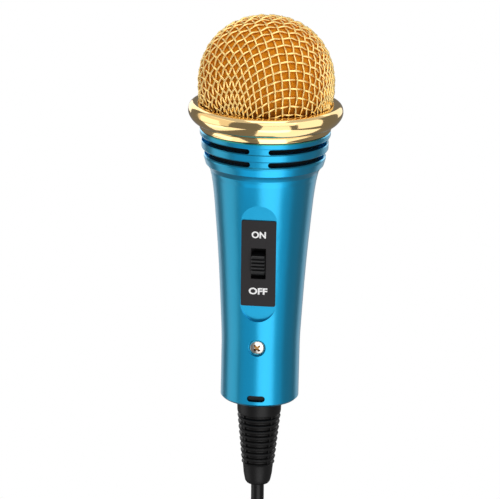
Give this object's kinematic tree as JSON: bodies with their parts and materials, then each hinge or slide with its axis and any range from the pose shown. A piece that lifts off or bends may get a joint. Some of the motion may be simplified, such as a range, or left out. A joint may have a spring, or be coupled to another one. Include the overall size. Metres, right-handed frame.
{
  "type": "karaoke microphone",
  "caption": "Wired hand-held dynamic microphone with woven wire dome head, tapered handle, slide switch, ribbed strain relief and plug on a tied cable",
  "frame": {"origin": "on the microphone's axis in the middle of the cylindrical grip at the handle's lower end, where a stand clip holds it", "axes": "+Z along the axis towards the wire dome, -Y out of the slide switch, X across"},
  "size_m": [0.052, 0.061, 0.3237],
  "materials": {
    "body_paint": "satin metallic paint",
    "gold_ring": "polished gold plating",
    "gold_wire": "bright woven wire",
    "head_foam": "open foam",
    "steel": "plain",
    "black_rubber": "matte",
    "felt": "matte felt",
    "black_plastic": "moulded",
    "aluminium": "turned",
    "film": "clear film",
    "copper": "enamelled winding",
    "magnet": "sintered",
    "board": "phenolic board",
    "brass": "plain",
    "plate_black": "printed plate",
    "knob_black": "moulded",
    "screw_nickel": "nickel plated",
    "wire_red": "wire insulation",
    "cable_jacket": "satin jacket",
    "cable_hank": "satin jacket",
    "tie_strap": "hook and loop strap",
    "plug_plastic": "moulded",
    "plug_nickel": "nickel plated"
  },
  "bodies": {
    "root": {"handle_body": "body_paint", "vent_felt": "felt", "capsule_cup": "black_plastic", "shock_rings": "black_rubber", "capsule_housing": "aluminium", "capsule_front": "aluminium", "capsule_felt": "felt", "diaphragm": "film", "voice_coil": "copper", "pole_plate": "steel", "magnet": "magnet", "magnet_yoke": "steel", "capsule_board": "board", "capsule_terminals": "brass", "switch_plate": "plate_black", "switch_frame": "steel", "switch_base": "board", "switch_terminals": "brass", "switch_screws": "steel", "end_cap": "black_plastic", "cable_anchor": "black_plastic", "cable_clamp": "black_plastic", "clamp_screws": "steel", "handle_screw": "screw_nickel", "strain_relief": "black_rubber", "capsule_wires": "wire_red", "cable_cores": "wire_red", "cable_inside": "cable_jacket", "cable_lead": "cable_jacket", "cable_hank": "cable_hank", "cable_tie": "tie_strap", "cable_tail": "cable_jacket", "plug_handle": "plug_plastic", "plug_sleeve": "plug_nickel", "plug_insulator": "plug_plastic", "plug_tip": "plug_nickel"},
    "head_lift": {"head_gasket": "black_rubber"},
    "head": {"grille_ring": "gold_ring", "grille_mesh": "gold_wire", "grille_liner": "head_foam", "grille_hoop": "steel"},
    "switch": {"switch_knob": "knob_black", "switch_carrier": "knob_black", "switch_contacts": "brass"}
  },
  "joints": [
    {"name": "head_rise", "type": "slide", "parent": "root", "child": "head_lift", "axis": [0, 0, 1], "range_m": [0, 0.003]},
    {"name": "head_unscrew", "type": "hinge", "parent": "head_lift", "child": "head", "pos_m": [0, 0, 0.0882], "axis": [0, 0, 1], "range_deg": [0, 1080]},
    {"name": "switch_slide", "type": "slide", "parent": "root", "child": "switch", "axis": [0, -0.0807, 0.9967], "range_m": [-0.002, 0.002]}
  ],
  "couplings": [
    {"joint": "head_rise", "follows": "head_unscrew", "m_per_rad": 0.00015915}
  ]
}
